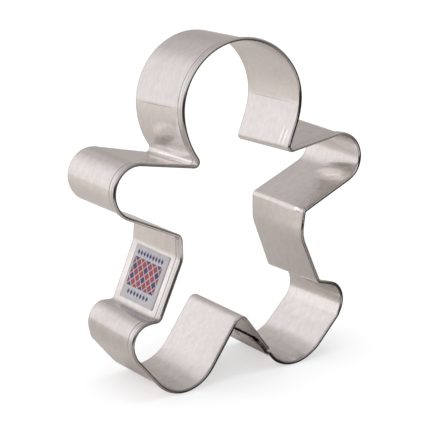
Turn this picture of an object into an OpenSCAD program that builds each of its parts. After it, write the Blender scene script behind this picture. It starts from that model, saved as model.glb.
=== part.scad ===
// Gingerbread-man cookie cutter: one strip of tinplate with a rolled rim, bent round pegs into a
// figure and closed by a spot-welded lap on the inner side of one leg. The figure stands on its
// feet: X runs across it, Z up, and Y from the rolled rim to the cutting edge.
// All sizes are in millimetres. Places and radii are those of the strip's inner face.

/* [Strip] */
// Depth of the cutter, from the rolled rim to the cutting edge
strip_w = 25.4; // [18:0.2:40]
// Thickness of the tinplate
sheet_t = 0.32; // [0.24:0.02:0.4]
// Thickness across the rolled rim
rim_t = 1.02; // [0.9:0.02:1.1]
// Depth of the leaf that the rim folds back over the outer face
leaf_w = 3; // [2:0.1:5]

/* [Head and neck] */
// Radius of the head
head_r = 20; // [16:0.5:24]
// Height of the middle of the head
head_z = 81.8; // [77:0.2:95]
// Angle of the neck's crease below the middle of the head
neck_fall = 37.2; // [30:0.2:46]
// Radius of the neck's crease
neck_r = 1.6; // [1.2:0.1:3]

/* [Arms] */
// Radius of the rounded hand
hand_r = 7.5; // [5:0.1:9]
// Distance from the middle line to the middle of the hand
hand_x = 36.2; // [33:0.2:45]
// Height of the middle of the hand
hand_z = 62.8; // [60:0.2:66]
// Distance from the middle line to the armpit
pit_x = 22.2; // [20.4:0.1:23.2]
// Height of the armpit's crease
pit_z = 46.8; // [46:0.2:50]
// Radius of the armpit's crease
pit_r = 2.6; // [1.2:0.1:3.2]

/* [Waist and hips] */
// Distance from the middle line to the waist
waist_x = 22.1; // [21:0.1:23]
// Height of the waist
waist_z = 42.3; // [38:0.1:44]
// Radius of the waist's bend
waist_r = 10.5; // [6:0.1:14]
// Radius of the waist's bend on the label's side
label_waist_r = 5.6; // [3:0.1:6]
// Distance from the middle line to the hip's crease
hip_x = 28.5; // [26:0.1:30]
// Height of the hip's crease
hip_z = 25.5; // [23:0.1:27]
// Radius of the hip's crease
hip_r = 2; // [1.2:0.1:2.5]

/* [Legs] */
// Radius of the foot's outer corner
toe_r = 6.6; // [5:0.1:8]
// Angle by which the foot's outer corner stands out from straight below the hip's crease
toe_lean = 7; // [0:1:20]
// Radius of the foot's sole
sole_r = 12; // [10:0.2:14]
// Distance from the middle line to the middle of the sole
sole_x = 20.6; // [18:0.1:23]
// Radius of the bend between the legs
crotch_r = 2.7; // [2.2:0.1:4]
// Height of the bend between the legs
crotch_z = 19.4; // [17:0.2:24]

/* [Bending] */
// How much further in the label's side of the waist is bent
label_side_in = 0.6; // [0:0.1:2]
// How much lower the armpit on the label's side is bent
label_side_drop = 0.5; // [0:0.1:2.5]

/* [Lap joint] */
// Length of strip that lies double at the joint
lap_l = 4; // [3.2:0.2:6]
// Distance from the sole's bend to the inner end of the strip
lap_rise = 1.6; // [1.3:0.1:3]
// Diameter of a spot weld
weld_d = 2; // [1.4:0.1:2.6]
// Number of spot welds
weld_count = 3; // [2:1:4]

/* [Label] */
// Gap between the label and the bends above and below it
label_rise = 0.9; // [0.5:0.1:4]
// Gap between the label and the cutting edge
label_drop = 2.8; // [1:0.1:8]
// Thickness of the label
label_t = 0.12; // [0.08:0.02:0.3]
// Radius of the label's corners
label_corner_r = 0.5; // [0.2:0.1:2]
// Distance from the rolled rim to the label
label_inset = 5.6; // [5.5:0.1:8]

/* [Hidden] */
// Gap between the rims at the lap, and between the leaf's edge and the wall
layer_gap = 0.02;
leaf_gap = 0.08;
// Gap between the walls at the lap, which the welds fill to within a gap of their own
lap_gap = 0.08;
weld_gap = 0.01;
// Gaps between the circles of the head and the neck's crease, and of the hip's crease and the foot
neck_clear = 0.5;
toe_clear = 0.1;
// Gap between the inner end of the strip and the place where the outer layer has stepped out
lap_clear = 0.4;
// Depth over which the outer layer slopes from the rim back to the inner layer
lap_slope = 3;
// Distance from the cutting edge to the last weld's edge
weld_margin = 2.4;
// Facets of the bends, and of creases with a radius under the limit
bend_facet = 7.5;
crease_facet = 15;
crease_limit = 3;
// Facet of the rim's half round
fold_facet = 30;
$fa = 6;
$fs = 0.2;

fold_r = rim_t / 2;
lap_step = sheet_t + lap_gap;
// How far the outer layer's rim stands outside its wall, to clear the inner layer's rim
rim_step = rim_t + layer_gap - lap_step;
// Depths between which the outer layer's wall slopes, at the lap
slope_top = leaf_w + sheet_t;
slope_foot = slope_top + lap_slope;
// Distance of the leaf's outer face from the wall's inner face, at the leaf's edge
leaf_x = 2 * sheet_t + leaf_gap;
sole_z = sole_r + rim_t;
neck_reach = head_r + neck_r + neck_clear;
toe_reach = hip_r + toe_r + toe_clear;
lap_angle = leg_angle();

// A peg is [x, z, radius, side]: the strip bends round it with its inner face towards it where
// side is 1, and with its outer face towards it where side is -1.
function right_pegs(pit_in, pit_drop, waist_bend) = [
    [neck_reach * cos(neck_fall), head_z - neck_reach * sin(neck_fall), neck_r, -1],
    [hand_x, hand_z, hand_r, 1],
    [pit_x + pit_r - pit_in, pit_z - pit_drop, pit_r, -1],
    [waist_x + waist_bend - pit_in, waist_z, waist_bend, -1],
    [hip_x + hip_r, hip_z, hip_r, -1],
    [hip_x + hip_r + toe_reach * sin(toe_lean), hip_z - toe_reach * cos(toe_lean), toe_r, 1],
    [sole_x, sole_z, sole_r, 1]
];
function mirrored(pegs) = [for (i = [len(pegs) - 1 : -1 : 0]) [-pegs[i][0], pegs[i][1], pegs[i][2], pegs[i][3]]];

head_peg = [0, head_z, head_r, 1];
crotch_peg = [0, crotch_z - crotch_r, crotch_r, -1];
right_side = right_pegs(0, 0, waist_r);
label_side = mirrored(right_pegs(label_side_in, label_side_drop, label_waist_r));
// Clockwise as seen from the rim: down the right side, over the crotch and up the label's side
pegs = concat([head_peg], right_side, [crotch_peg], label_side);
sole_index = len(right_side);
label_index = sole_index + 4;

function wrap(i) = i % len(pegs);
function signed_r(peg) = peg[2] * peg[3];
function spot(peg) = [peg[0], peg[1]];
// Direction of the strip's outward normal on the straight from one peg to the next
function straight_angle(a, b, step = 0) = let (way = spot(b) - spot(a))
    atan2(way.y, way.x) + acos((signed_r(a) - signed_r(b) - step) / norm(way));
// The angle on the leg that carries the lap, where the two ends lie a step apart
function leg_angle() = straight_angle([sole_x, sole_z, sole_r, 1],
    [0, crotch_z - crotch_r, crotch_r, -1], lap_step);
function angle_after(i) = i == sole_index ? lap_angle : straight_angle(pegs[i], pegs[wrap(i + 1)]);
// The point of a peg's circle, shrunk or grown by an offset, that faces an angle
function touch(peg, angle, offset = 0) =
    spot(peg) + (signed_r(peg) + offset) * [cos(angle), sin(angle)];
function positive(angle) = angle - 360 * floor(angle / 360);

// Where the leg's straight starts above the sole, on the inner layer's and the outer layer's line
leg_foot = touch(pegs[sole_index], lap_angle, -lap_step);
outer_foot = touch(pegs[sole_index], lap_angle);
up_leg = [sin(lap_angle), -cos(lap_angle)];

// Cross-section of the strip as two lines of points from the cutting edge to the leaf's edge, one
// on each side of the sheet: x is the distance out from the inner face, and y falls from the rim at
// 0 to the cutting edge at -strip_w. Where step is 1 the rim stands out by rim_step and the wall
// slopes back to its line, and where it is 0 nothing is moved.
function section_side(step, in) = let (out = step * rim_step, r = fold_r - in) concat(
    [[in, -strip_w], [in, -slope_foot], [out + in, -slope_top], [out + in, -fold_r]],
    [for (a = [180 - fold_facet : -fold_facet : 0]) [out + fold_r + r * cos(a), -fold_r + r * sin(a)]],
    [[out + leaf_x - in, -leaf_w]]
);
function reversed(list) = [for (i = [len(list) - 1 : -1 : 0]) list[i]];
function section(step) = concat(section_side(step, 0), reversed(section_side(step, sheet_t)));

// A station is [x, z, angle, step]: a point of the strip's inner face, its outward normal's
// direction and the section's step there.
function station(at, angle, step = 0) = [at.x, at.y, angle, step];
function bend_stations(peg, angle_in, angle_out) = let (
        turn = peg[3] > 0 ? positive(angle_in - angle_out) : positive(angle_out - angle_in),
        facet = peg[2] < crease_limit ? crease_facet : bend_facet,
        count = ceil(turn / facet)
    )
    [for (i = [0 : count]) let (angle = angle_in - peg[3] * turn * i / count)
        station(touch(peg, angle), angle)];
function belt_stations() = [
    for (i = [sole_index + 1 : sole_index + len(pegs)])
        each bend_stations(pegs[wrap(i)], angle_after(wrap(i - 1)), angle_after(wrap(i)))
];

// The whole strip, clockwise as seen from the rim: from its inner end over the crotch, round the
// figure, and up the leg again to its outer end, which steps over the inner one's rim
stations = concat(
    [station(leg_foot + lap_rise * up_leg, lap_angle)],
    belt_stations(),
    [
        station(outer_foot + (lap_rise - lap_clear) * up_leg, lap_angle, 1),
        station(outer_foot + (lap_rise + lap_l) * up_leg, lap_angle, 1)
    ]
);

function placed(at, corner) = [
    at[0] + corner.x * cos(at[2]),
    -corner.y - strip_w / 2,
    at[1] + corner.x * sin(at[2])
];

// Sweeps the section along the stations as one closed shell
module swept_strip() {
    n = len(section(0));
    last = (len(stations) - 1) * n;
    corners = [for (at = stations) each [for (corner = section(at[3])) placed(at, corner)]];
    sides = [
        for (i = [0 : len(stations) - 2], j = [0 : n - 1])
            let (a = i * n + j, b = i * n + (j + 1) % n)
                each [[a, a + n, b + n], [a, b + n, b]]
    ];
    ends = [
        for (j = [0 : n / 2 - 2])
            let (a = j, b = n - 1 - j)
                each [
                    [a, a + 1, b - 1], [a, b - 1, b],
                    [last + a, last + b - 1, last + a + 1], [last + a, last + b, last + b - 1]
                ]
    ];
    polyhedron(corners, concat(sides, ends), convexity = 10);
}

// Places its children at each weld, with x running out through the two layers
module at_welds() {
    first = slope_foot + weld_d / 2;
    last = strip_w - weld_margin - weld_d / 2;
    place = leg_foot + (lap_rise + lap_l / 2) * up_leg;
    for (i = [0 : weld_count - 1])
        translate([place.x, place.y, -first - (last - first) * i / (weld_count - 1)])
            rotate([0, 0, lap_angle])
                rotate([0, 90, 0])
                    children();
}

// Turns what is drawn in the plane of the figure upright, with the rim to the front
module upright() {
    translate([0, -strip_w / 2, 0])
        rotate([90, 0, 0])
            children();
}

module cutter_band() {
    color("#c9c2bc")
        swept_strip();
}

// The fused spots between the two layers
module spot_welds() {
    color("#a9a29c")
        upright()
            at_welds()
                translate([0, 0, sheet_t + weld_gap])
                    cylinder(h = lap_gap - 2 * weld_gap, d = weld_d);
}

// A flat sticker on the straight between the hip and the waist
module label() {
    hip = pegs[label_index];
    angle = angle_after(label_index);
    corner = label_corner_r;
    foot = touch(hip, angle);
    label_h = norm(touch(pegs[wrap(label_index + 1)], angle) - foot) - 2 * label_rise;
    label_w = strip_w - label_inset - label_drop;
    from = touch(hip, angle, sheet_t) + label_rise * [sin(angle), -cos(angle)];
    color("#b9b5b6")
        upright()
            translate([from.x, from.y, -label_inset])
                rotate([0, 0, angle])
                    rotate([0, 90, 0])
                        linear_extrude(label_t)
                            translate([0, -label_h])
                                union() {
                                    translate([corner, 0])
                                        square([label_w - 2 * corner, label_h]);
                                    translate([0, corner])
                                        square([label_w, label_h - 2 * corner]);
                                    for (x = [corner, label_w - corner], y = [corner, label_h - corner])
                                        translate([x, y])
                                            circle(corner);
                                }
}

cutter_band();
spot_welds();
label();
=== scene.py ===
import bisect
import bmesh
import bpy
import math
import random
from mathutils import Matrix, Vector


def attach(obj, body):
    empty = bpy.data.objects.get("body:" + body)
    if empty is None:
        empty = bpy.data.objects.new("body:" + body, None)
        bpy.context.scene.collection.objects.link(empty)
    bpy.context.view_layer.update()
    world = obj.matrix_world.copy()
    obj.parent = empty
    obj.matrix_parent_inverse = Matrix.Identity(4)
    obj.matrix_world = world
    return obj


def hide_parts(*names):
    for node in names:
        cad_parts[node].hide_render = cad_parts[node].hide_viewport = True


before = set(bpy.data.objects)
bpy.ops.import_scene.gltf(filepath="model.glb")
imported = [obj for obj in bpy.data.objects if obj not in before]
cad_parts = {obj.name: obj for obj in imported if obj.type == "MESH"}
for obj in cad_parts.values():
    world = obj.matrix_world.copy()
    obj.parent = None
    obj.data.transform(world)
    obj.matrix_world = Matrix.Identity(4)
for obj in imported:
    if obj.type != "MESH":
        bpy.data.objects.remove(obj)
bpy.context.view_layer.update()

MM = 0.001

# Sizes of the strip and the figure in millimetres, as in the solid model
STRIP_W = 25.4
SHEET_T = 0.32
RIM_T = 1.02
LEAF_W = 3.0
HEAD_R, HEAD_Z = 20.0, 81.8
NECK_FALL, NECK_R, NECK_CLEAR = 37.2, 1.6, 0.5
HAND_R, HAND_X, HAND_Z = 7.5, 36.2, 62.8
PIT_X, PIT_Z, PIT_R = 22.2, 46.8, 2.6
WAIST_X, WAIST_Z, WAIST_R, LABEL_WAIST_R = 22.1, 42.3, 10.5, 5.6
HIP_X, HIP_Z, HIP_R = 28.5, 25.5, 2.0
TOE_R, TOE_LEAN, TOE_CLEAR = 6.6, 7.0, 0.1
SOLE_R, SOLE_X = 12.0, 20.6
CROTCH_R, CROTCH_Z = 2.7, 19.4
LABEL_SIDE_IN, LABEL_SIDE_DROP = 0.6, 0.5
LAP_L, LAP_RISE, LAP_CLEAR, LAP_SLOPE = 4.0, 1.6, 0.4, 3.0
LAYER_GAP, LEAF_GAP, LAP_GAP = 0.02, 0.08, 0.08
LABEL_T, LABEL_CORNER_R = 0.12, 0.5
LABEL_INSET, LABEL_DROP = 5.6, 2.8

FOLD_R = RIM_T / 2
LAP_STEP = SHEET_T + LAP_GAP
RIM_STEP = RIM_T + LAYER_GAP - LAP_STEP
SLOPE_TOP = LEAF_W + SHEET_T
SLOPE_FOOT = SLOPE_TOP + LAP_SLOPE
LEAF_X = 2 * SHEET_T + LEAF_GAP

# How much shorter the lap's outer end is here than in the solid model
TAIL_CUT = 1.0

# Camera of the photograph, in millimetres
CAM_AT = (-256.423, -352.157, 169.819)
CAM_RIGHT = (0.811000, -0.585005, 0.006863)
CAM_UP = (0.152496, 0.222703, 0.962885)
CAM_AHEAD = (0.564822, 0.779854, -0.269823)
CAM_FOCUS_PX = 1516.71
IMAGE_PX = 430
SENSOR_MM = 36.0
CLIP_START_M = 0.01


def smooth(t):
    t = min(1.0, max(0.0, t))
    return t * t * (3 - 2 * t)


# The figure as a belt round pegs: x, z, radius, and 1 where the strip's inner face lies on the peg

def right_pegs(pit_in, pit_drop, waist_bend):
    reach = HEAD_R + NECK_R + NECK_CLEAR
    fall = math.radians(NECK_FALL)
    toe_reach = HIP_R + TOE_R + TOE_CLEAR
    lean = math.radians(TOE_LEAN)
    return [
        (reach * math.cos(fall), HEAD_Z - reach * math.sin(fall), NECK_R, -1),
        (HAND_X, HAND_Z, HAND_R, 1),
        (PIT_X + PIT_R - pit_in, PIT_Z - pit_drop, PIT_R, -1),
        (WAIST_X + waist_bend - pit_in, WAIST_Z, waist_bend, -1),
        (HIP_X + HIP_R, HIP_Z, HIP_R, -1),
        (HIP_X + HIP_R + toe_reach * math.sin(lean), HIP_Z - toe_reach * math.cos(lean), TOE_R, 1),
        (SOLE_X, SOLE_R + RIM_T, SOLE_R, 1),
    ]


right_side = right_pegs(0, 0, WAIST_R)
label_side = [(-x, z, r, side) for x, z, r, side in
              reversed(right_pegs(LABEL_SIDE_IN, LABEL_SIDE_DROP, LABEL_WAIST_R))]
pegs = ([(0, HEAD_Z, HEAD_R, 1)] + right_side
        + [(0, CROTCH_Z - CROTCH_R, CROTCH_R, -1)] + label_side)
PEG_COUNT = len(pegs)
SOLE = len(right_side)

# The hand-bent strip's walls aren't quite square to the rim. For each bend, in the order of the
# pegs: how far its peg is off at the rim and at the cutting edge, as (x, z, radius) each.
BENT = {
    "head": ((-0.4, 0.55, 0.0), (-0.2, -0.35, 0.15)),
    "neck_r": ((0.25, 0.45, 0.25), (0.4, -0.55, 0.0)),
    "hand_r": ((0.1, -0.25, -0.25), (0.3, 0.3, -0.05)),
    "pit_r": ((-0.85, 0.55, -0.95), (-0.9, 1.05, -1.0)),
    "waist_r": ((-0.2, -0.2, 0.2), (0.15, 0.25, -0.15)),
    "hip_r": ((-0.2, 0.5, 0.0), (0.2, -0.15, 0.0)),
    "toe_r": ((0.05, -0.05, -0.05), (0.0, -0.35, -0.05)),
    "sole_r": ((-0.05, 0.0, 0.0), (0.0, 0.05, -0.05)),
    "crotch": ((-0.45, 0.0, 0.1), (0.1, 0.05, 0.0)),
    "sole_l": ((-0.2, -0.25, -0.3), (-0.1, 0.2, 0.35)),
    "toe_l": ((-0.4, 0.35, -0.55), (-0.15, 0.2, -0.15)),
    "hip_l": ((0.0, -0.1, 0.15), (-0.05, -0.1, -0.05)),
    "waist_l": ((0.05, -0.55, 0.1), (-0.2, -0.05, -0.1)),
    "pit_l": ((-0.1, -0.1, 0.15), (0.05, 0.0, 0.05)),
    "hand_l": ((-0.2, 0.0, -0.15), (-0.1, 0.3, 0.1)),
    "neck_l": ((0.25, 0.2, 0.1), (0.05, -0.15, 0.0)),
}
BEND_NAMES = list(BENT)

# How far a rounded bend is out of round, at the rim and at the cutting edge: the parts of its
# radius that go with the cosine and the sine of twice the angle
OVAL = {
    "head": ((0.55, -0.45), (0.2, -0.4)),
    "hand_r": ((0.1, -0.2), (0.05, -0.15)),
    "toe_r": ((0.0, 0.2), (0.0, 0.05)),
    "sole_r": ((-0.1, 0.25), (0.15, 0.2)),
    "sole_l": ((-0.15, 0.0), (0.1, 0.15)),
    "toe_l": ((0.05, -0.25), (-0.3, -0.35)),
    "hand_l": ((-0.05, -0.05), (0.0, -0.15)),
}
# Share of a bend over which that fades in, and out again
OVAL_FADE = 0.2

# Steps of the strip's line in millimetres, and of its bends in degrees
STRAIGHT_STEP = 1.0
LAP_FINE = 0.2
BEND_FACET = 2.5
CREASE_FACET = 6.0
CREASE_LIMIT = 3.0
MIN_PIECES = 4


def bent_pegs(at_edge):
    """The pegs at the rim, or at the cutting edge."""
    out = []
    for (x, z, r, side), off in zip(pegs, BENT.values()):
        dx, dz, dr = off[at_edge]
        out.append((x + dx, z + dz, r + dr, side))
    return out


def belt_angles(belt):
    """The outward normal's direction on the straight after each peg."""
    angles = []
    for i in range(PEG_COUNT):
        a, b = belt[i], belt[(i + 1) % PEG_COUNT]
        step = LAP_STEP if i == SOLE else 0.0
        way = math.hypot(b[0] - a[0], b[1] - a[1])
        lean = math.acos((a[2] * a[3] - b[2] * b[3] - step) / way)
        angles.append(math.atan2(b[1] - a[1], b[0] - a[0]) + lean)
    return angles


def touch(peg, angle, offset=0.0):
    r = peg[2] * peg[3] + offset
    return Vector((peg[0] + r * math.cos(angle), peg[1] + r * math.sin(angle)))


def travel(angle):
    return Vector((math.sin(angle), -math.cos(angle)))


def bend_turn(belt, angles, i):
    return ((angles[i - 1] - angles[i]) * belt[i][3]) % math.tau


def out_of_round(name, at_edge, angle, t):
    """How far the bend's outline stands out at an angle, a share t of the way round it."""
    if name not in OVAL:
        return 0.0
    c, s = OVAL[name][at_edge]
    faded = smooth(t / OVAL_FADE) * smooth((1 - t) / OVAL_FADE)
    return faded * (c * math.cos(2 * angle) + s * math.sin(2 * angle))


def belt_line(at_edge, pieces, steps):
    """Points [(point, angle)] of one outline, with these numbers of pieces in bends and straights."""
    belt = bent_pegs(at_edge)
    angles = belt_angles(belt)
    leg = angles[SOLE]
    line = [(touch(belt[SOLE], leg, -LAP_STEP) + LAP_RISE * travel(leg), leg)]
    for k in range(PEG_COUNT):
        i = (SOLE + 1 + k) % PEG_COUNT
        before = angles[i - 1]
        turn = bend_turn(belt, angles, i)
        start, first = line[-1][0], touch(belt[i], before)
        line += [(start.lerp(first, j / steps[i]), before) for j in range(1, steps[i])]
        for j in range(pieces[i] + 1):
            t = j / pieces[i]
            angle = before - belt[i][3] * turn * t
            line.append((touch(belt[i], angle, out_of_round(BEND_NAMES[i], at_edge, angle, t)), angle))
    foot = touch(belt[SOLE], leg)
    tail = LAP_RISE + LAP_L - TAIL_CUT
    count = round(tail / LAP_FINE)
    line += [(foot + travel(leg) * tail * j / count, leg) for j in range(1, count + 1)]
    return line


def make_line():
    """Rows (rim point, angle, edge point, angle, along), and where each bend starts and ends."""
    angles = belt_angles(pegs)
    pieces, steps = [], []
    for i, peg in enumerate(pegs):
        facet = math.radians(CREASE_FACET if peg[2] < CREASE_LIMIT else BEND_FACET)
        pieces.append(max(MIN_PIECES, math.ceil(bend_turn(pegs, angles, i) / facet)))
        start = touch(pegs[i - 1], angles[i - 1])
        steps.append(max(1, round((touch(peg, angles[i - 1]) - start).length / STRAIGHT_STEP)))
    rim, edge = (belt_line(k, pieces, steps) for k in (0, 1))
    rows, along = [], 0.0
    for (p, a), (q, b) in zip(rim, edge):
        if rows:
            along += ((p + q) / 2 - (rows[-1][0] + rows[-1][2]) / 2).length
        rows.append((p, a, q, a + (b - a + math.pi) % math.tau - math.pi, along))
    bends, at = {}, 0
    for k in range(PEG_COUNT):
        i = (SOLE + 1 + k) % PEG_COUNT
        at += steps[i]
        bends[BEND_NAMES[i]] = (rows[at][4], rows[at + pieces[i]][4])
        at += pieces[i]
    return rows, bends


rows, bends = make_line()
alongs = [row[4] for row in rows]
LAP_START = rows[-1][4] - LAP_RISE - LAP_L + TAIL_CUT

# The painted shadow of the outer layer's step lies just beyond the outer layer's end
SEAM_BEYOND = 0.25
SEAM_ALONG = LAP_L - TAIL_CUT + SEAM_BEYOND

# Gentle unevenness of a hand-bent strip: a few long waves, the same each run. Each has its turns
# along and across the strip in radians per millimetre, and its share of the height.
WAVE_H = 0.05
WAVE_FADE = 6.0
WAVE_COUNT = 14
WAVE_SEED = 7
WAVE_ALONG, WAVE_ACROSS, WAVE_SHARE = (0.12, 0.5), (-0.16, 0.16), (0.4, 1.0)

rng = random.Random(WAVE_SEED)
waves = [(rng.uniform(*WAVE_ALONG), rng.uniform(*WAVE_ACROSS), rng.uniform(0, math.tau),
          rng.uniform(*WAVE_SHARE)) for _ in range(WAVE_COUNT)]


def wave(s, y):
    return sum(h * math.sin(a * s + b * y + p) for a, b, p, h in waves) / len(waves)


def spot_on(row, x, y):
    """The point of space at a row of the strip, x out from its inner face and y back from the rim."""
    p, a, q, b, along = row
    f = y / STRIP_W
    angle = a + (b - a) * f
    at = p.lerp(q, f)
    out = x + WAVE_H * wave(along, y) * smooth(y / WAVE_FADE)
    return ((at.x + out * math.cos(angle)) * MM, (y - STRIP_W / 2) * MM,
            (at.y + out * math.sin(angle)) * MM)


def spot_along(along, x, y):
    k = min(max(bisect.bisect_right(alongs, along), 1), len(rows) - 1)
    before, after = rows[k - 1], rows[k]
    f = (along - before[4]) / (after[4] - before[4])
    row = (before[0].lerp(after[0], f), before[1] + (after[1] - before[1]) * f,
           before[2].lerp(after[2], f), before[3] + (after[3] - before[3]) * f, along)
    return spot_on(row, x, y)


def lap_step(along):
    """0 on the strip, and 1 where the outer end has stepped out over the inner end's rim."""
    return smooth((along - LAP_START) / (LAP_RISE - LAP_CLEAR))


CREASE_REACH = 5.0
CREASES = [(start + end) / 2 for name, (start, end) in bends.items()
           if pegs[BEND_NAMES.index(name)][2] < CREASE_LIMIT]


def crease_at(along):
    """1 in the middle of a sharp bend, falling to 0 on the flats beside it."""
    return max(smooth(1 - abs(along - middle) / CREASE_REACH) for middle in CREASES)


# Meshes

def link(obj):
    bpy.context.scene.collection.objects.link(obj)
    return obj


def build_mesh(name, verts, faces, vectors=None):
    """An object in smooth shading. The vectors are what its material reads as the place."""
    mesh = bpy.data.meshes.new(name)
    mesh.from_pydata(verts, [], faces)
    work = bmesh.new()
    work.from_mesh(mesh)
    bmesh.ops.recalc_face_normals(work, faces=work.faces)
    work.to_mesh(mesh)
    work.free()
    for poly in mesh.polygons:
        poly.use_smooth = True
    if vectors:
        layer = mesh.attributes.new("place", "FLOAT_VECTOR", "POINT")
        layer.data.foreach_set("vector", [c for v in vectors for c in v])
    mesh.update()
    return link(bpy.data.objects.new(name, mesh))


WALL_STEPS, ARC_STEPS, LEAF_STEPS = 22, 14, 4
WALL = STRIP_W - FOLD_R


def make_profile():
    """The sheet's middle line in section, from the cutting edge: (x, y, normal x, normal y, across)."""
    mid = SHEET_T / 2
    nodes = [(mid, STRIP_W - WALL * j / WALL_STEPS, -1.0, 0.0, WALL * j / WALL_STEPS)
             for j in range(WALL_STEPS)]
    r = FOLD_R - mid
    for j in range(ARC_STEPS + 1):
        a = math.pi - math.pi * j / ARC_STEPS
        nodes.append((FOLD_R + r * math.cos(a), FOLD_R - r * math.sin(a),
                      math.cos(a), -math.sin(a), WALL + r * (math.pi - a)))
    x0, y0 = RIM_T - mid, FOLD_R
    x1, y1 = LEAF_X - mid, LEAF_W
    length = math.hypot(x1 - x0, y1 - y0)
    nx, ny = (y1 - y0) / length, (x0 - x1) / length
    for j in range(1, LEAF_STEPS + 1):
        f = j / LEAF_STEPS
        nodes.append((x0 + (x1 - x0) * f, y0 + (y1 - y0) * f, nx, ny,
                      WALL + r * math.pi + length * f))
    return nodes


def make_band():
    """The strip as one closed skin. Its place is how far along it is, how far across from the cutting
    edge, and 1 on the wall's inner face and on round the outside of the fold."""
    half = SHEET_T / 2
    nodes = make_profile()
    ring = [(x + sign * nx * half, y + sign * ny * half, across, sign)
            for sign in (1, -1) for x, y, nx, ny, across in nodes[::sign]]
    size = len(ring)
    verts, info = [], []
    for row in rows:
        step = lap_step(row[4])
        for x, y, across, sign in ring:
            shift = RIM_STEP * step * smooth((SLOPE_FOOT - y) / LAP_SLOPE)
            verts.append(spot_on(row, x + shift, y))
            info.append((row[4], across, max(sign, 0)))
    faces = [(i * size + j, i * size + (j + 1) % size,
              (i + 1) * size + (j + 1) % size, (i + 1) * size + j)
             for i in range(len(rows) - 1) for j in range(size)]
    last = (len(rows) - 1) * size
    end_faces = size // 2 - 1
    for a in range(end_faces):
        b = size - 1 - a
        faces.append((a, b, b - 1, a + 1))
        faces.append((last + a, last + a + 1, last + b - 1, last + b))
    band = build_mesh("band", verts, faces, info)
    for poly in band.data.polygons[-2 * end_faces:]:
        poly.material_index = 1
    creases = band.data.attributes.new("crease", "FLOAT", "POINT")
    creases.data.foreach_set("value", [crease_at(row[4]) for row in rows for _ in ring])
    sharp = {0, size // 2 - 1, size // 2, size - 1}
    for e in band.data.edges:
        a, b = e.vertices
        same_row = a // size == b // size
        e.use_edge_sharp = a // size in (0, len(rows) - 1) if same_row else a % size in sharp
    return band


LABEL_FOOT, LABEL_HEAD = 84.9, 101.2
LABEL_STEP = 0.8
LABEL_GLUE = 0.01
# Rows of the rounded corners, as shares of their radius
CORNER_SHARES = (0.0, 0.04, 0.2, 0.5, 1.0)
# How far the label's edge lifts, how far in that reaches, and how it varies
LABEL_CURL, CURL_REACH, CURL_LEAST, CURL_WAVES = 0.04, 2.5, 0.5, 3


def make_label():
    """A thin closed sheet on the strip's outer face. Its place is (up, back from the rim's side, 0)."""
    high, wide = LABEL_HEAD - LABEL_FOOT, STRIP_W - LABEL_INSET - LABEL_DROP
    r = LABEL_CORNER_R
    near_end = [share * r for share in CORNER_SHARES]
    count = round(high / LABEL_STEP)
    ups = near_end + [r + (high - 2 * r) * i / count for i in range(1, count)]
    ups += [high - u for u in reversed(near_end)]
    across_count = round(wide / LABEL_STEP)
    verts, info, faces = [], [], []
    size = across_count + 1
    for bottom in (0, 1):
        for u in ups:
            end = min(u, high - u)
            cut = r - math.sqrt(r * r - (r - end) ** 2) if end < r else 0.0
            for j in range(size):
                v = cut + (wide - 2 * cut) * j / across_count
                edge = min(end, v, wide - v)
                uneven = CURL_LEAST + wave(LABEL_FOOT + u * CURL_WAVES, v * CURL_WAVES)
                lift = LABEL_CURL * (1 - smooth(edge / CURL_REACH)) * uneven
                out = SHEET_T + LABEL_GLUE + lift + (0 if bottom else LABEL_T)
                verts.append(spot_along(LABEL_FOOT + u, out, LABEL_INSET + v))
                info.append((u, v, 0))
    below = len(ups) * size
    for i in range(len(ups) - 1):
        for j in range(across_count):
            a = i * size + j
            faces.append((a, a + 1, a + size + 1, a + size))
            faces.append((below + a, below + a + size, below + a + size + 1, below + a + 1))
    border = list(range(size)) + [i * size + across_count for i in range(1, len(ups))]
    border += [(len(ups) - 1) * size + j for j in range(across_count - 1, -1, -1)]
    border += [i * size for i in range(len(ups) - 2, 0, -1)]
    for a, b in zip(border, border[1:] + border[:1]):
        faces.append((a, below + a, below + b, b))
    return build_mesh("label_sheet", verts, faces, info)


WELD_D, WELD_COUNT, WELD_MARGIN = 2.0, 3, 2.4
WELD_SEGMENTS = 40
# Each lathed outline as (radius as a share of the weld's, out from the outer layer's inner face)
NUGGET = ((0.0, -0.07), (1.0, -0.07), (1.0, -0.01), (0.0, -0.01))
ELECTRODE_MARK = ((0.0, 0.31), (1.2, 0.31), (1.16, 0.325), (1.04, 0.335), (0.9, 0.332),
                  (0.78, 0.324), (0.0, 0.323))
# How fast the tint changes round a weld, and how far apart two welds' tints are taken
TINT_TURN, TINT_APART = 2, 9


def make_welds():
    """The nuggets between the two layers, and the electrode's print on the outer one."""
    first = SLOPE_FOOT + WELD_D / 2
    last = STRIP_W - WELD_MARGIN - WELD_D / 2
    middle = LAP_START + LAP_RISE + (LAP_L - TAIL_CUT) / 2
    verts, info, faces = [], [], []
    for k in range(WELD_COUNT):
        y = first + (last - first) * k / (WELD_COUNT - 1)
        for outline in (NUGGET, ELECTRODE_MARK):
            start = len(verts)
            for i in range(WELD_SEGMENTS):
                turn = math.tau * i / WELD_SEGMENTS
                for share, x in outline[1:-1]:
                    r = share * WELD_D / 2
                    verts.append(spot_along(middle + r * math.cos(turn), x, y + r * math.sin(turn)))
                    info.append((turn * TINT_TURN + TINT_APART * k, r, k))
            size = len(outline) - 2
            for end in (outline[0], outline[-1]):
                verts.append(spot_along(middle, end[1], y))
                info.append((TINT_APART * k, 0.0, k))
            for i in range(WELD_SEGMENTS):
                a, b = start + i * size, start + (i + 1) % WELD_SEGMENTS * size
                faces.append((len(verts) - 2, b, a))
                faces.append((len(verts) - 1, a + size - 1, b + size - 1))
                faces += [(a + j, b + j, b + j + 1, a + j + 1) for j in range(size - 1)]
    return build_mesh("welds", verts, faces, info)


# Helpers for materials

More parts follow.
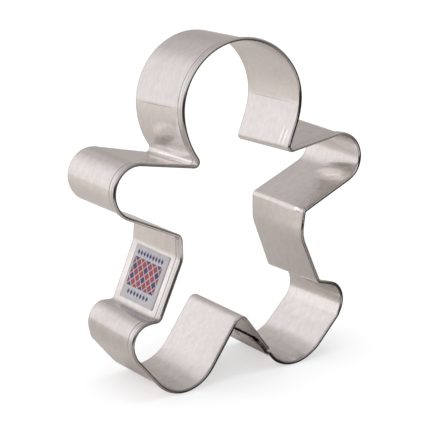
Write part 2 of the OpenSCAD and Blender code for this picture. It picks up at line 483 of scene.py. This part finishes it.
def add(tree, kind, inputs=None, **settings):
    """A shader node. Each input is given a value, or the output that feeds it."""
    node = tree.nodes.new("ShaderNode" + kind)
    for key, value in settings.items():
        setattr(node, key, value)
    for key, value in (inputs or {}).items():
        if isinstance(value, bpy.types.NodeSocket):
            tree.links.new(value, node.inputs[key])
        else:
            node.inputs[key].default_value = value
    return node


def calc(tree, operation, *values):
    return add(tree, "Math", dict(enumerate(values)), operation=operation).outputs[0]


def span(tree, value, low, high, to_low=0.0, to_high=1.0):
    """The value's place between low and high, eased at both ends, as a number between the last two."""
    inputs = {"Value": value, "From Min": low, "From Max": high, "To Min": to_low, "To Max": to_high}
    return add(tree, "MapRange", inputs, interpolation_type="SMOOTHSTEP").outputs["Result"]


def near(tree, value, at, reach):
    """1 where the value is at a number, and 0 from the reach away."""
    return span(tree, calc(tree, "ABSOLUTE", calc(tree, "SUBTRACT", value, at)), reach, 0.0)


def between(tree, value, one_side, other_side):
    """1 in a stretch, and 0 beyond it. Each side is given as (where it is 0, where it is 1)."""
    return calc(tree, "MULTIPLY", span(tree, value, *one_side), span(tree, value, *other_side))


def noise(tree, place, scale, detail):
    moved = add(tree, "Mapping", {"Vector": place, "Scale": scale}).outputs["Vector"]
    return add(tree, "TexNoise", {"Vector": moved, "Scale": 1.0, "Detail": detail}).outputs["Fac"]


def mix(tree, factor, a, b):
    return add(tree, "Mix", {0: factor, 6: a, 7: b}, data_type="RGBA").outputs[2]


def scaled(tree, colour, factor):
    return add(tree, "VectorMath", {0: colour, "Scale": factor}, operation="SCALE").outputs["Vector"]


def bumped(tree, height):
    """The normal of a relief whose height is in metres."""
    return add(tree, "Bump", {"Strength": 1.0, "Distance": 1.0, "Height": height}).outputs["Normal"]


def place_of(tree):
    """The place on the sheet, whole and as its three numbers."""
    place = add(tree, "Attribute", attribute_name="place").outputs["Vector"]
    split = add(tree, "SeparateXYZ", {"Vector": place})
    return place, split.outputs["X"], split.outputs["Y"], split.outputs["Z"]


def new_material(name, **values):
    """A material, its node tree and its shader, with the shader's inputs set by name."""
    mat = bpy.data.materials.new(name)
    mat.use_nodes = True
    tree = mat.node_tree
    tree.nodes.clear()
    inputs = {key.replace("_", " "): value for key, value in values.items()}
    shader = add(tree, "BsdfPrincipled", inputs)
    add(tree, "OutputMaterial", {"Surface": shader.outputs["BSDF"]})
    return mat, tree, shader


def feed(tree, shader, **sources):
    for key, source in sources.items():
        tree.links.new(source, shader.inputs[key.replace("_", " ")])


def set_ramp(node, stops):
    """Stops are (position, colour)."""
    elements = node.color_ramp.elements
    while len(elements) < len(stops):
        elements.new(0.5)
    for e, (position, colour) in zip(elements, stops):
        e.position = position
        e.color = colour


# The light's colour as the metal mirrors it, where it is brightest and where it is dimmest
BRIGHT_LIGHT, DIM_LIGHT = (1.0, 0.976, 0.984), (1.0, 0.93, 0.885)
DIM_TONE = 0.3


def lit_tone(tone):
    """A tone's colour: near white when bright and warmer when dim."""
    share = min(1.0, max(0.0, (1 - tone) / (1 - DIM_TONE)))
    return [tone * (b + (d - b) * share) for b, d in zip(BRIGHT_LIGHT, DIM_LIGHT)] + [1]


# The range that most of a noise's values lie in, and a wider and a narrower one
MIDDLE, WIDE, NARROW = (0.3, 0.7), (0.25, 0.75), (0.35, 0.65)

# Tinplate. Each noise has its scale along, across and from face to face, and its detail.
TIN_CLOUD = ((0.16, 0.3, 5.0), 5.0)
TIN_MOTTLE = ((0.55, 0.6, 5.0), 4.0)
TIN_STREAK = ((0.04, 2.2, 5.0), 3.0)
TIN_GRAIN = ((0.12, 6.0, 1.0), 4.0)
TIN_WRINKLE = ((1.9, 0.08, 3.0), 3.0)
TIN_CRIMP = ((1.1, 0.9, 3.0), 3.0)
MOTTLE_TONES, STREAK_TONES = (0.965, 1.035), (0.985, 1.015)
TIN_GREY, TIN_PALE = (0.648, 0.617, 0.603, 1), (0.683, 0.655, 0.643, 1)
TIN_ROUGHNESS = (0.15, 0.21)
TIN_ANISOTROPY = 0.7
# Heights of the relief in metres, and where across the strip the crimps start and are full
GRAIN_H, WRINKLE_H, CRIMP_H = 0.000003, 0.00009, 0.0003
CRIMPED = (18.0, 24.0)

# Painted shade and painted dark reflection, as dark lines along the strip, in millimetres across it.
# The bead's two halves have two sides each, as (where it is clear, where it is dark), and the leaf's
# end and the cutting edge have one. The line in the fold and the one beside the leaf are (middle,
# reach).
INNER_HALF = ((24.8, 24.95), (25.45, 25.3))
OUTER_HALF = ((25.25, 25.4), (26.15, 25.95))
FOLD_LINE = (26.7, 0.35)
LEAF_END = (27.9, 28.4)
BESIDE_LEAF = (22.2, 0.6)
CUT_EDGE = (0.5, 0.0)
# Painted shadow of the lap's step: its reach along the strip, and its (middle, reach) across it
SEAM_REACH = 0.3
SEAM_ACROSS = (12.0, 14.0)
FOLD_LINE_DARK, LEAF_END_DARK, BESIDE_LEAF_DARK = 0.35, 0.6, 0.6
CUT_EDGE_DARK, STEP_SHADOW_DARK = 0.35, 0.97

# Painted dark reflection on the bead's inner and outer halves: how dark each is, at places along the
# strip
BEAD_REFLECTION_DARK = (
    (0, 0.2, 0.42), (11, 0.2, 0.38), (13, 0.1, 0.2), (18, 0.1, 0.2), (21, 0.45, 0.96),
    (46, 0.45, 0.96), (56, 0.8, 0.45), (70, 0.88, 0.45), (84, 0.9, 0.5), (90, 0.94, 0.72),
    (101, 0.92, 0.5), (105, 0.4, 0.1), (125, 0.5, 0.1), (130, 0.9, 0.4), (145, 0.92, 0.4),
    (152, 0.75, 0.3), (168, 0.65, 0.2), (172, 0.86, 0.35), (222, 0.68, 0.1), (236, 0.4, 0.05),
    (243, 0.25, 0.45), (248, 0.3, 0.96), (261, 0.3, 0.96), (265, 0.25, 0.15), (286, 0.2, 0.1),
    (294, 0.2, 0.95), (322, 0.25, 0.92), (328, 0.45, 0.75), (350, 0.35, 0.3), (358, 0.25, 0.94),
    (400, 0.3, 0.94),
)

# Painted highlights and painted shade, where the tin is made lighter or darker: the two ends as
# (along, across) each, half the width, how much brighter, and 1 on the inner face
LIGHT_AND_SHADE_MARKS = (
    (256.0, 20.8, 262.3, 20.3, 0.55, 0.22, 1),
    (256.6, 21.8, 262.0, 21.3, 0.22, -0.22, 1),
    (256.4, 22.8, 262.0, 22.3, 0.65, 0.22, 1),
    (256.0, 24.0, 261.0, 23.9, 0.35, 0.12, 1),
    (304.4, 12.5, 302.4, 20.5, 2.5, 0.34, 1),
    (306.6, 15.0, 304.2, 23.2, 2.2, 0.26, 1),
    (300.6, 12.3, 298.6, 23.4, 0.8, -0.26, 1),
    (322.5, 20.8, 322.5, 22.6, 0.8, 0.35, 1),
    (322.9, 21.6, 323.4, 23.2, 0.3, -0.5, 1),
    (348.0, 14.0, 348.4, 24.4, 0.35, 0.3, 1),
    (169.6, 0.8, 170.0, 24.0, 0.45, 0.22, 0),
    (169.3, 6.3, 169.5, 19.0, 0.2, -0.25, 0),
    (163.0, 7.5, 165.8, 19.5, 0.6, 0.2, 0),
    (171.0, 2.0, 173.0, 22.0, 2.4, 0.26, 0),
    (178.5, 9.0, 179.0, 23.5, 4.0, 0.32, 0),
    (172.5, 12.0, 176.0, 24.4, 3.4, 0.42, 0),
    (176.0, 10.0, 177.4, 17.0, 1.4, -0.32, 0),
    (187.6, 21.9, 190.4, 21.9, 0.35, -0.5, 0),
    (177.0, 21.8, 183.5, 22.2, 2.4, 0.36, 0),
    (186.6, 0.0, 186.7, 21.6, 0.22, -0.27, 0),
    (249.0, 0.0, 249.1, 23.6, 0.25, -0.22, 1),
    (93.0, 3.0, 93.0, 21.5, 9.0, 0.17, 0),
    (365.0, 2.0, 365.0, 24.0, 7.0, 0.07, 1),
    (380.0, 2.0, 380.0, 24.0, 4.5, -0.08, 1),
    (72.0, 0.0, 72.0, 24.0, 5.0, -0.08, 0),
    (241.0, 2.0, 241.0, 24.0, 8.0, 0.09, 1),
    (193.5, 0.0, 193.5, 24.0, 6.0, -0.06, 0),
    (42.5, 0.0, 42.5, 24.0, 5.0, -0.07, 1),
    (399.5, 2.0, 399.5, 24.0, 5.0, 0.35, 0),
)
# A mark is full within this share of its reach. It stays on its own face, as far as this goes.
MARK_CORE = 0.55
MARK_DEPTH = 0.3


def mark(tree, place, along_a, across_a, along_b, across_b, half_width, inner):
    """1 in the oval round a line from one place to another, and 0 outside it."""
    long_way, cross_way = along_b - along_a, across_b - across_a
    size = (math.hypot(long_way, cross_way) / 2 + half_width, half_width, MARK_DEPTH)
    inputs = {"Vector": place,
              "Location": ((along_a + along_b) / 2, (across_a + across_b) / 2, inner),
              "Rotation": (0, 0, math.atan2(cross_way, long_way)),
              "Scale": size}
    moved = add(tree, "Mapping", inputs, vector_type="TEXTURE").outputs["Vector"]
    away = add(tree, "VectorMath", {0: moved}, operation="LENGTH").outputs["Value"]
    return span(tree, away, 1.0, MARK_CORE)


def make_tinplate():
    mat, tree, shader = new_material("tinplate_satin", Metallic=1.0, Anisotropic=TIN_ANISOTROPY)
    place, along, across, inner = place_of(tree)
    crease = add(tree, "Attribute", attribute_name="crease").outputs["Fac"]
    cloud = noise(tree, place, *TIN_CLOUD)
    mottle = noise(tree, place, *TIN_MOTTLE)
    streak = noise(tree, place, *TIN_STREAK)

    # Brightness: mottled tin, painted dark reflection and shade along the rim and the leaf's edge,
    # painted shadow at the lap's step, and the marks' painted highlights and shade
    bright = calc(tree, "MULTIPLY", span(tree, mottle, *MIDDLE, *MOTTLE_TONES),
                  span(tree, streak, *MIDDLE, *STREAK_TONES))
    painted_light = 1.0
    # The marks: painted highlights and painted shade
    for *ends, gain, inner_face in LIGHT_AND_SHADE_MARKS:
        painted_light = calc(tree, "MULTIPLY_ADD", mark(tree, place, *ends, inner_face), gain, painted_light)
    whole = BEAD_REFLECTION_DARK[-1][0]
    dark = add(tree, "ValToRGB", {"Fac": calc(tree, "MULTIPLY", along, 1 / whole)})
    set_ramp(dark, [(at / whole, (inner_half, outer_half, 0, 1))
                    for at, inner_half, outer_half in BEAD_REFLECTION_DARK])
    dark = add(tree, "SeparateColor", {"Color": dark.outputs["Color"]}).outputs
    inner_bead = calc(tree, "MULTIPLY", between(tree, across, *INNER_HALF), dark["Red"])
    outer_bead = calc(tree, "MULTIPLY", between(tree, across, *OUTER_HALF), dark["Green"])
    fold_line = near(tree, across, *FOLD_LINE)
    leaf_end = span(tree, across, *LEAF_END)
    cut = span(tree, across, *CUT_EDGE)
    outer_face = calc(tree, "SUBTRACT", 1.0, inner)
    beside = calc(tree, "MULTIPLY", near(tree, across, *BESIDE_LEAF), outer_face)
    outer_end = calc(tree, "MULTIPLY", near(tree, along, SEAM_ALONG, SEAM_REACH), outer_face)
    step_shadow = calc(tree, "MULTIPLY", outer_end, near(tree, across, *SEAM_ACROSS))
    # Painted dark reflection on the bead, painted shade along the fold, the leaf and the cutting edge,
    # and painted shadow at the lap's step
    for share, amount in ((inner_bead, 1.0), (outer_bead, 1.0), (fold_line, FOLD_LINE_DARK),
                          (leaf_end, LEAF_END_DARK), (beside, BESIDE_LEAF_DARK), (step_shadow, STEP_SHADOW_DARK),
                          (cut, CUT_EDGE_DARK)):
        bright = calc(tree, "MULTIPLY", bright, calc(tree, "MULTIPLY_ADD", share, -amount, 1.0))
    bright = calc(tree, "MULTIPLY", bright, painted_light)
    tint = mix(tree, span(tree, cloud, *MIDDLE), TIN_GREY, TIN_PALE)

    # Relief: rolling grain along the strip, creases along the bends and crimps at the rim
    grain = noise(tree, place, *TIN_GRAIN)
    wrinkle = noise(tree, place, *TIN_WRINKLE)
    crimp = noise(tree, place, *TIN_CRIMP)
    near_rim = calc(tree, "MULTIPLY", crease, span(tree, across, *CRIMPED))
    height = calc(tree, "MULTIPLY", grain, GRAIN_H)
    height = calc(tree, "MULTIPLY_ADD", calc(tree, "MULTIPLY", wrinkle, crease), WRINKLE_H, height)
    height = calc(tree, "MULTIPLY_ADD", calc(tree, "MULTIPLY", crimp, near_rim), CRIMP_H, height)

    across_strip = add(tree, "CombineXYZ", {"Y": 1.0}).outputs["Vector"]
    feed(tree, shader, Base_Color=scaled(tree, tint, bright),
         Roughness=span(tree, cloud, *MIDDLE, *TIN_ROUGHNESS),
         Normal=bumped(tree, height), Tangent=across_strip)
    return mat


# The label's print, in millimetres up from its foot and back from its edge at the rim: a field of
# diamonds with clear lines between them, every fourth one navy
FIELD_U, FIELD_V = (4.0, 12.7), (1.9, 15.9)
DIAMOND_U, DIAMOND_V, DIAMOND_LINE = 2.9, 2.8, 0.07
NAVY_EVERY = 4.0
# Each row of lozenges: up, half their height, the row's middle, half its length, their spacing
LOZENGES = ((14.15, 0.95, 8.9, 6.75, 1.5), (2.35, 0.9, 8.9, 5.6, 1.6))
LOZENGE_HALF = 0.62
NAVY, RED = (0.038, 0.028, 0.130, 1), (0.30, 0.036, 0.053, 1)
PAPER = (0.49, 0.475, 0.495, 1)
PAPER_GRAIN = ((3.0, 3.0, 1.0), 4.0)
PAPER_CLOUD = ((0.25, 0.25, 1.0), 3.0)
PAPER_GRAIN_TONES, PAPER_CLOUD_TONES = (0.9, 1.1), (0.93, 1.07)
PAPER_ROUGHNESS = (0.34, 0.46)
PAPER_GRAIN_H = 0.00001


def in_field(tree, value, limits):
    return calc(tree, "COMPARE", value, sum(limits) / 2, (limits[1] - limits[0]) / 2)


def make_label_print():
    mat, tree, shader = new_material("label_print")
    place, up, back, _ = place_of(tree)
    p = calc(tree, "MULTIPLY_ADD", back, 1 / DIAMOND_V, -FIELD_V[0] / DIAMOND_V)
    q = calc(tree, "MULTIPLY_ADD", up, 1 / DIAMOND_U, -FIELD_U[0] / DIAMOND_U)
    rising, falling = calc(tree, "ADD", p, q), calc(tree, "SUBTRACT", p, q)
    cell = calc(tree, "ADD", calc(tree, "FLOOR", rising), calc(tree, "FLOOR", falling))
    from_line = calc(tree, "MINIMUM", calc(tree, "PINGPONG", rising, 0.5),
                     calc(tree, "PINGPONG", falling, 0.5))
    diamond = calc(tree, "GREATER_THAN", from_line, DIAMOND_LINE)
    field = calc(tree, "MULTIPLY", in_field(tree, up, FIELD_U), in_field(tree, back, FIELD_V))
    navy_cell = calc(tree, "COMPARE", calc(tree, "FLOORED_MODULO", cell, NAVY_EVERY), 0.0, 0.5)
    ink = calc(tree, "MULTIPLY", diamond, field)
    rows_inked = 0.0
    for at, half, middle, half_way, pitch in LOZENGES:
        from_middle = calc(tree, "PINGPONG", calc(tree, "SUBTRACT", back, middle), pitch / 2)
        off = calc(tree, "ABSOLUTE", calc(tree, "SUBTRACT", up, at))
        off = calc(tree, "ADD", calc(tree, "DIVIDE", off, half),
                   calc(tree, "DIVIDE", from_middle, LOZENGE_HALF))
        row = calc(tree, "MULTIPLY", calc(tree, "LESS_THAN", off, 1.0),
                   calc(tree, "COMPARE", back, middle, half_way))
        rows_inked = calc(tree, "ADD", rows_inked, row)

    grain = noise(tree, place, *PAPER_GRAIN)
    cloud = noise(tree, place, *PAPER_CLOUD)
    colour = mix(tree, ink, PAPER, mix(tree, navy_cell, RED, NAVY))
    colour = mix(tree, rows_inked, colour, NAVY)
    bright = calc(tree, "MULTIPLY", span(tree, grain, *WIDE, *PAPER_GRAIN_TONES),
                  span(tree, cloud, *MIDDLE, *PAPER_CLOUD_TONES))
    feed(tree, shader, Base_Color=scaled(tree, colour, bright),
         Roughness=span(tree, grain, *MIDDLE, *PAPER_ROUGHNESS),
         Normal=bumped(tree, calc(tree, "MULTIPLY", grain, PAPER_GRAIN_H)))
    return mat


WELD_BLOT = ((0.9, 2.5, 1.0), 4.0)
WELD_BROWN, WELD_GREY = (0.40, 0.36, 0.34, 1), (0.58, 0.53, 0.50, 1)
WELD_RING_REACH, WELD_RING_DARK = 0.25, 0.25
WELD_ROUGHNESS = (0.3, 0.5)
WELD_BLOT_H = 0.00002


def make_weld_steel():
    """Steel tinted brown by the heat of the weld, and darker round its edge."""
    mat, tree, shader = new_material("weld_steel", Metallic=1.0)
    place, _, out, _ = place_of(tree)
    blot = noise(tree, place, *WELD_BLOT)
    tint = mix(tree, span(tree, blot, *NARROW), WELD_BROWN, WELD_GREY)
    ring = near(tree, out, WELD_D / 2, WELD_RING_REACH)
    bright = calc(tree, "MULTIPLY_ADD", ring, -WELD_RING_DARK, 1.0)
    feed(tree, shader, Base_Color=scaled(tree, tint, bright),
         Roughness=span(tree, blot, *MIDDLE, *WELD_ROUGHNESS),
         Normal=bumped(tree, calc(tree, "MULTIPLY", blot, WELD_BLOT_H)))
    return mat


# The sheared ends' colours: painted shade, lighter near the rim
END_GRIT = ((1.5, 3.0, 1.0), 4.0)
END_BLACK, END_BROWN = (0.012, 0.010, 0.009, 1), (0.05, 0.042, 0.038, 1)
END_UNSHADED = (0.30, 0.265, 0.245, 1)
# Where across the strip the ends' painted shade starts to fade, and has faded
END_SHADE_FADE = (22.5, 24.5)
END_ROUGHNESS = (0.5, 0.7)


def make_end_steel():
    """The strip's sheared ends, painted dark for the shade in the gaps at the lap, less so at the rim.
    """
    mat, tree, shader = new_material("end_steel", Metallic=1.0)
    place, _, across, _ = place_of(tree)
    grit = noise(tree, place, *END_GRIT)
    end_shade = mix(tree, grit, END_BLACK, END_BROWN)
    feed(tree, shader, Base_Color=mix(tree, span(tree, across, *END_SHADE_FADE), end_shade, END_UNSHADED),
         Roughness=span(tree, grit, *MIDDLE, *END_ROUGHNESS))
    return mat


FLOOR_COLOUR, FLOOR_GLOW = (0.55, 0.55, 0.555, 1), 0.52
MIRRORED_COLOUR = (0.80, 0.75, 0.715, 1)
# The mirrored floor's own light from the middle to the left: (share of the reach, tone)
FLOOR_TONES = ((0.0, 0.02), (0.08, 0.05), (0.16, 0.12), (0.3, 0.24), (0.6, 0.33), (1.0, 0.33))
FLOOR_TONES_REACH_M = 0.5


def make_floor_material():
    return new_material(
        "floor_white", Base_Color=FLOOR_COLOUR, Roughness=0.9, Specular_IOR_Level=0.1,
        Emission_Color=(1, 1, 1, 1), Emission_Strength=FLOOR_GLOW)[0]


def make_mirrored_floor_material():
    """Grey as the tin mirrors it, and paler far out on the left."""
    mat, tree, shader = new_material(
        "floor_grey", Base_Color=MIRRORED_COLOUR, Roughness=1.0, Specular_IOR_Level=0.0,
        Emission_Strength=1.0)
    coords = add(tree, "TexCoord").outputs["Object"]
    side = add(tree, "SeparateXYZ", {"Vector": coords}).outputs["X"]
    tone = add(tree, "ValToRGB", {"Fac": calc(tree, "MULTIPLY", side, -1 / FLOOR_TONES_REACH_M)})
    set_ramp(tone, [(at, lit_tone(level)) for at, level in FLOOR_TONES])
    feed(tree, shader, Emission_Color=tone.outputs["Color"])
    return mat


def make_dark_material():
    mat, tree, shader = new_material(
        "dark_side", Base_Color=(0, 0, 0, 1), Roughness=1.0, Specular_IOR_Level=0.0,
        Emission_Color=(*DIM_LIGHT, 1))
    feed(tree, shader, Emission_Strength=place_of(tree)[1])
    return mat


# The three pieces

def dress(piece, node, *materials):
    for material in materials:
        piece.data.materials.append(material)
    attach(piece, "root")
    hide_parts(node)


dress(make_band(), "cutter_band", make_tinplate(), make_end_steel())
dress(make_label(), "label", make_label_print())
dress(make_welds(), "spot_welds", make_weld_steel())

# The floor that the camera sees, and a greyer one just above it that only the metal mirrors, both
# in metres
FLOOR_R = 30.0
FLOOR_Z = -0.0001
FLOOR_SEGMENTS = 96
MIRRORED_R = 0.57
MIRRORED_ABOVE = 0.00001


def make_disc(name, radius, z):
    turns = [math.tau * i / FLOOR_SEGMENTS for i in range(FLOOR_SEGMENTS)]
    verts = [(radius * math.cos(turn), radius * math.sin(turn), z) for turn in turns]
    return build_mesh(name, verts, [tuple(range(FLOOR_SEGMENTS))])


def only_mirrored(obj):
    obj.visible_camera = False
    obj.visible_diffuse = False
    obj.visible_shadow = False
    obj.visible_transmission = False


floor = make_disc("floor", FLOOR_R, FLOOR_Z)
floor.data.materials.append(make_floor_material())
floor.visible_glossy = False
mirrored_floor = make_disc("mirrored_floor", MIRRORED_R, FLOOR_Z + MIRRORED_ABOVE)
mirrored_floor.data.materials.append(make_mirrored_floor_material())
only_mirrored(mirrored_floor)

# The dark side of the studio, behind the camera. It is seen only in reflections, and draws the dark
# line along the rim. Each ring is (radius, height, tone on the left, tone on the right) in metres.
DARK_RINGS = (
    (0.012, 0.0, 0.6, 0.4), (0.03, 0.0, 0.65, 0.08), (0.07, 0.0, 0.8, 0.05), (0.10, 0.0, 0.9, 0.4),
    (0.13, 0.0, 0.9, 0.85), (0.16, 0.0, 0.8, 0.8), (0.22, 0.0, 0.07, 0.05), (0.30, 0.0, 0.05, 0.05),
    (0.30, 0.09, 0.05, 0.05), (0.30, 0.12, 0.3, 0.3), (0.30, 0.17, 0.75, 0.75),
)
# Its two ends in degrees round the cutter, over how many it fades there, and where left turns right
DARK_FROM, DARK_TO, DARK_FADE = 160, 388, 26
DARK_RIGHT_FROM, DARK_RIGHT_FADE = 295, 30
DARK_SEGMENTS = 72
DARK_EDGE_TONE = 0.9
DARK_ABOVE = 0.0002


def make_dark_side():
    """The rings round the rim's middle. The place's first number is the tone."""
    verts, tones, faces = [], [], []
    size = len(DARK_RINGS)
    for i in range(DARK_SEGMENTS + 1):
        degrees = DARK_FROM + (DARK_TO - DARK_FROM) * i / DARK_SEGMENTS
        turn = math.radians(degrees)
        share = smooth(min(degrees - DARK_FROM, DARK_TO - degrees) / DARK_FADE)
        right = smooth((degrees - DARK_RIGHT_FROM) / DARK_RIGHT_FADE)
        for r, z, left_tone, right_tone in DARK_RINGS:
            tone = left_tone + (right_tone - left_tone) * right
            verts.append((r * math.cos(turn), r * math.sin(turn) - STRIP_W / 2 * MM,
                          FLOOR_Z + DARK_ABOVE + z))
            tones.append((DARK_EDGE_TONE + (tone - DARK_EDGE_TONE) * share, 0.0, 0.0))
        if i:
            k = size * i
            faces += [(k - size + j, k + j, k + j + 1, k - size + j + 1) for j in range(size - 1)]
    return build_mesh("dark_side", verts, faces, tones)


dark_side = make_dark_side()
dark_side.data.materials.append(make_dark_material())
only_mirrored(dark_side)

# Studio light: a tent that is brighter on the upper left. Its tones go round the Y axis, in degrees
# up from +X.
TENT = ((-180, 1.14), (-150, 1.14), (-140, 0.25), (-25, 0.25), (-20, 0.56), (0, 0.56), (20, 0.53),
        (45, 0.55), (60, 0.67), (80, 0.71), (90, 0.80), (100, 0.92), (120, 1.09), (140, 1.17),
        (165, 1.18), (179, 1.14))
TENT_TOP = 1.2


def make_tent():
    """The tent is warm where the metal mirrors it, plain as a light, and white to the camera."""
    world = bpy.data.worlds.new("studio")
    bpy.context.scene.world = world
    world.use_nodes = True
    tree = world.node_tree
    tree.nodes.clear()
    aim = add(tree, "SeparateXYZ", {"Vector": add(tree, "TexCoord").outputs["Generated"]})
    angle = calc(tree, "ARCTAN2", aim.outputs["Z"], aim.outputs["X"])
    ramp = add(tree, "ValToRGB", {"Fac": calc(tree, "MULTIPLY_ADD", angle, 1 / math.tau, 0.5)})
    set_ramp(ramp, [((degrees + 180) / 360, lit_tone(level / TENT_TOP)) for degrees, level in TENT])
    path = add(tree, "LightPath")
    plain = add(tree, "SeparateColor", {"Color": ramp.outputs["Color"]}).outputs["Red"]
    plain = add(tree, "CombineColor", {"Red": plain, "Green": plain, "Blue": plain}).outputs["Color"]
    tent_colour = mix(tree, path.outputs["Is Glossy Ray"], plain, ramp.outputs["Color"])
    tent = add(tree, "Background", {"Strength": TENT_TOP, "Color": tent_colour})
    backdrop = add(tree, "Background", {"Strength": 1.0, "Color": (1, 1, 1, 1)})
    seen = add(tree, "MixShader", {0: path.outputs["Is Camera Ray"], 1: tent.outputs["Background"],
                                   2: backdrop.outputs["Background"]})
    add(tree, "OutputWorld", {"Surface": seen.outputs["Shader"]})


make_tent()

# A soft lamp overhead for the shadow on the floor, which the metal doesn't mirror
LAMP_SIZE, LAMP_POWER, LAMP_HEIGHT = 0.5, 2.0, 1.0

lamp_data = bpy.data.lights.new("overhead", "AREA")
lamp_data.size = LAMP_SIZE
lamp_data.energy = LAMP_POWER
lamp = link(bpy.data.objects.new("overhead", lamp_data))
lamp.location = (0.0, 0.0, LAMP_HEIGHT)
lamp.visible_glossy = False
lamp.visible_camera = False
lit = bpy.data.collections.new("lit")
for obj in (floor, bpy.data.objects["label_sheet"]):
    lit.objects.link(obj)
lamp.light_linking.receiver_collection = lit

cam_data = bpy.data.cameras.new("camera")
cam_data.sensor_width = SENSOR_MM
cam_data.lens = CAM_FOCUS_PX * SENSOR_MM / IMAGE_PX
cam_data.clip_start = CLIP_START_M
cam = link(bpy.data.objects.new("camera", cam_data))
facing = Matrix((CAM_RIGHT, CAM_UP, [-c for c in CAM_AHEAD])).transposed()
cam.matrix_world = Matrix.Translation(Vector(CAM_AT) * MM) @ facing.to_4x4()
scene = bpy.context.scene
scene.camera = cam
scene.view_settings.view_transform = "Standard"
